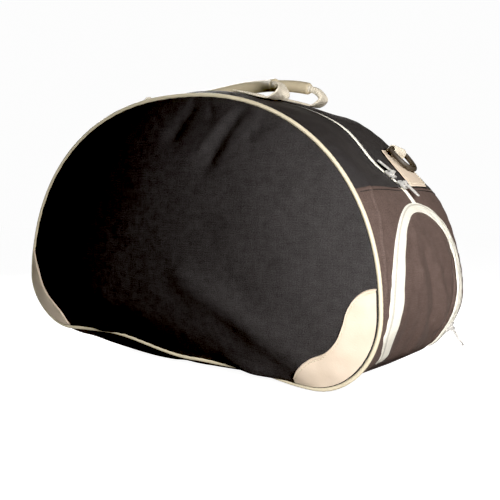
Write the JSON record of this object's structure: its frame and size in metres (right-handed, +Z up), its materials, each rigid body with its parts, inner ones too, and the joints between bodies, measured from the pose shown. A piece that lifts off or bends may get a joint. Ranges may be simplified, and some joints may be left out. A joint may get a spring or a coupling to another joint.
{
  "type": "travel bag",
  "caption": "Soft half-moon travel bag with puffed faces, an arched zip, short carry handles, strap rings and an end pocket.",
  "frame": {"origin": "on the floor under the middle of the flat base, halfway between the two seams", "axes": "+X to the pocket end, which is the right as seen from the front; -Y out of the front face; +Z up"},
  "size_m": [0.5326, 0.2798, 0.3439],
  "materials": {
    "cloth": "black plain-weave polyester with a soft sheen",
    "leatherette": "cream grained leatherette, satin",
    "piping": "cream vinyl piping, satin",
    "webbing": "cream woven webbing, matt",
    "tape": "cream zip tape and coil, matt",
    "steel": "bright nickel plate",
    "ring": "black enamel, satin"
  },
  "bodies": {
    "shell": {"front_panel": "cloth", "back_panel": "cloth", "bottom_panel": "cloth", "top_gusset_front": "cloth", "top_gusset_back": "cloth", "main_zip": "tape", "right_end_panel": "cloth", "pocket_zip": "tape", "pocket_panel": "cloth", "left_end_panel": "cloth", "front_piping": "piping", "back_piping": "piping", "corner_patch_right": "leatherette", "corner_patch_left": "leatherette", "front_handle_strap": "webbing", "front_handle_grip": "leatherette", "back_handle_strap": "webbing", "back_handle_grip": "leatherette", "ring_tab_right": "leatherette", "ring_loop_right": "webbing", "ring_tab_left": "leatherette", "ring_loop_left": "webbing", "main_slider_a": "steel", "main_slider_b": "steel", "pocket_slider": "steel"},
    "ring_right": {"d_ring_right": "ring"},
    "ring_left": {"d_ring_left": "ring"},
    "pull_a": {"main_puller_a": "steel"},
    "pull_b": {"main_puller_b": "steel"},
    "pocket_pull": {"pocket_puller": "steel"}
  },
  "joints": [
    {"name": "ring_right_turn", "type": "hinge", "parent": "shell", "child": "ring_right", "pos_m": [0.18796, 0.06246, 0.25112], "axis": [-0.0986, -0.9821, 0.1605], "range_deg": [0, 140]},
    {"name": "ring_left_turn", "type": "hinge", "parent": "shell", "child": "ring_left", "pos_m": [-0.1925, 0.06179, 0.2559], "axis": [-0.1486, 0.9844, -0.0943], "range_deg": [0, 140]},
    {"name": "pull_a_turn", "type": "hinge", "parent": "shell", "child": "pull_a", "pos_m": [0.211, 0.00122, 0.22542], "axis": [0.047, 0.9982, 0.038], "range_deg": [0, 100]},
    {"name": "pull_b_turn", "type": "hinge", "parent": "shell", "child": "pull_b", "pos_m": [0.22551, 0.00144, 0.21382], "axis": [-0.0042, -0.9993, -0.0361], "range_deg": [0, 100]},
    {"name": "pocket_pull_turn", "type": "hinge", "parent": "shell", "child": "pocket_pull", "pos_m": [0.25862, 0.06049, 0.05082], "axis": [0.071, -0.9965, -0.045], "range_deg": [-56, 44]}
  ]
}
